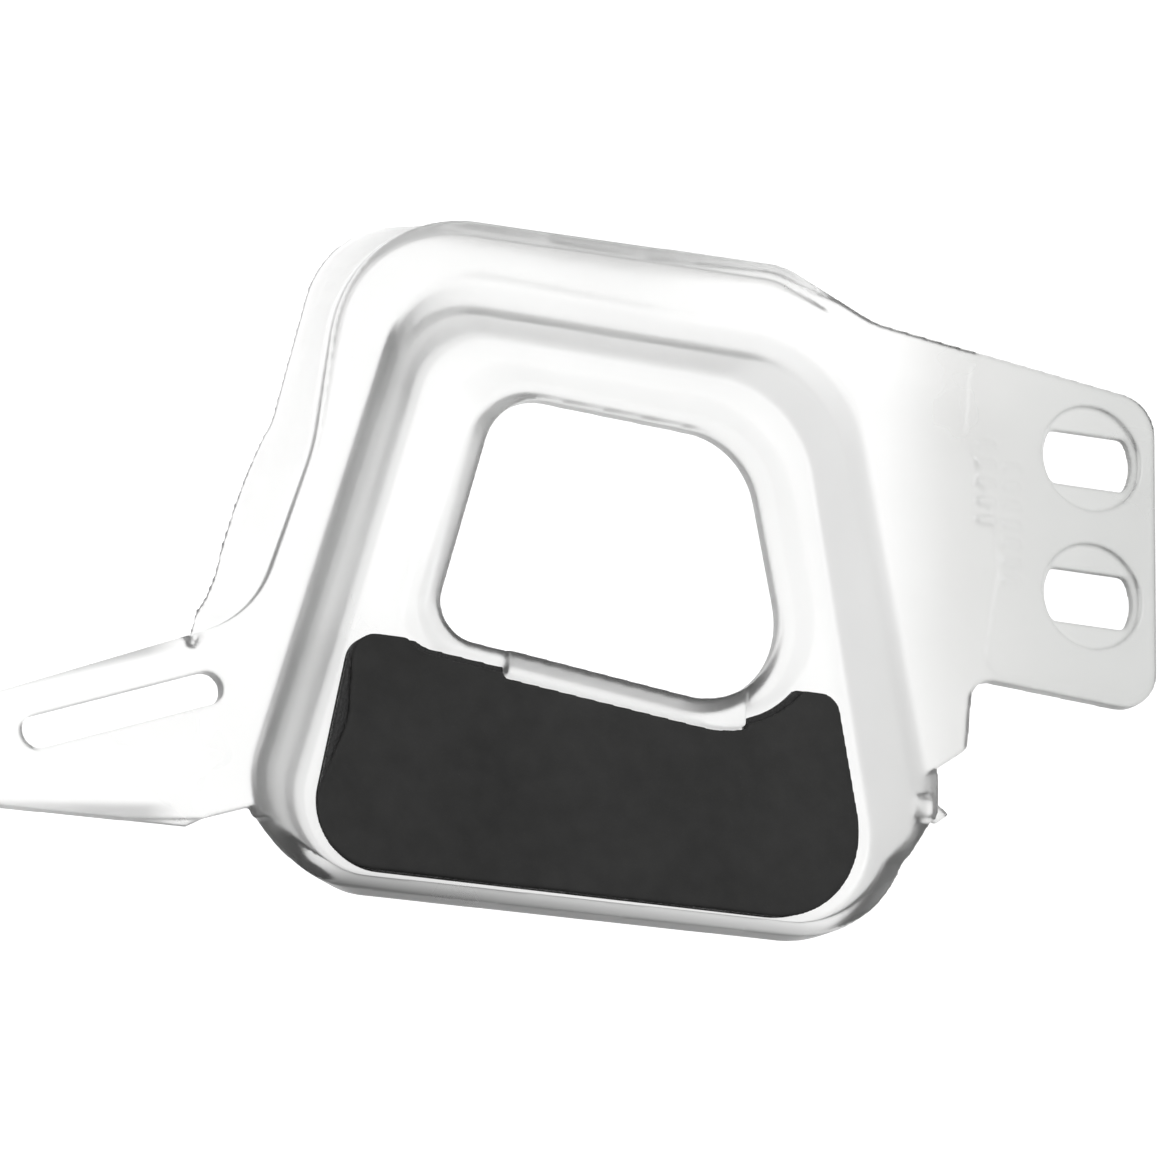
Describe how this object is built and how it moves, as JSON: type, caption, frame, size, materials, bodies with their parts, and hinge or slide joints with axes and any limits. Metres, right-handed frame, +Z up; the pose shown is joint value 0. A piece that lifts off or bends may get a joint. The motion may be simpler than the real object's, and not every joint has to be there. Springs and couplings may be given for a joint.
{
  "type": "snowboard binding toe strap",
  "caption": "Clear moulded toe strap with a rounded window, a sunk tray with a bonded grip pad, a slotted tongue and a wide tongue with two round fastener seats.",
  "frame": {"origin": "under the middle of the whole part, on the surface it lies on", "axes": "+X towards the wide tongue with the fastener seats, +Y from the pad to the window, +Z up out of the tray, the side that faces the boot"},
  "size_m": [0.219, 0.1178, 0.0149],
  "materials": {
    "clear_tpu": "clear injection moulded TPU, polished, slightly milky",
    "grip_skin": "matt dark grey grip skin with fine mottling",
    "black_foam": "black closed-cell foam",
    "bonding_film": "thin clear bonding film"
  },
  "bodies": {
    "root": {"strap_shell": "clear_tpu", "pad_face": "grip_skin", "pad_foam": "black_foam", "pad_adhesive": "bonding_film"}
  },
  "joints": []
}
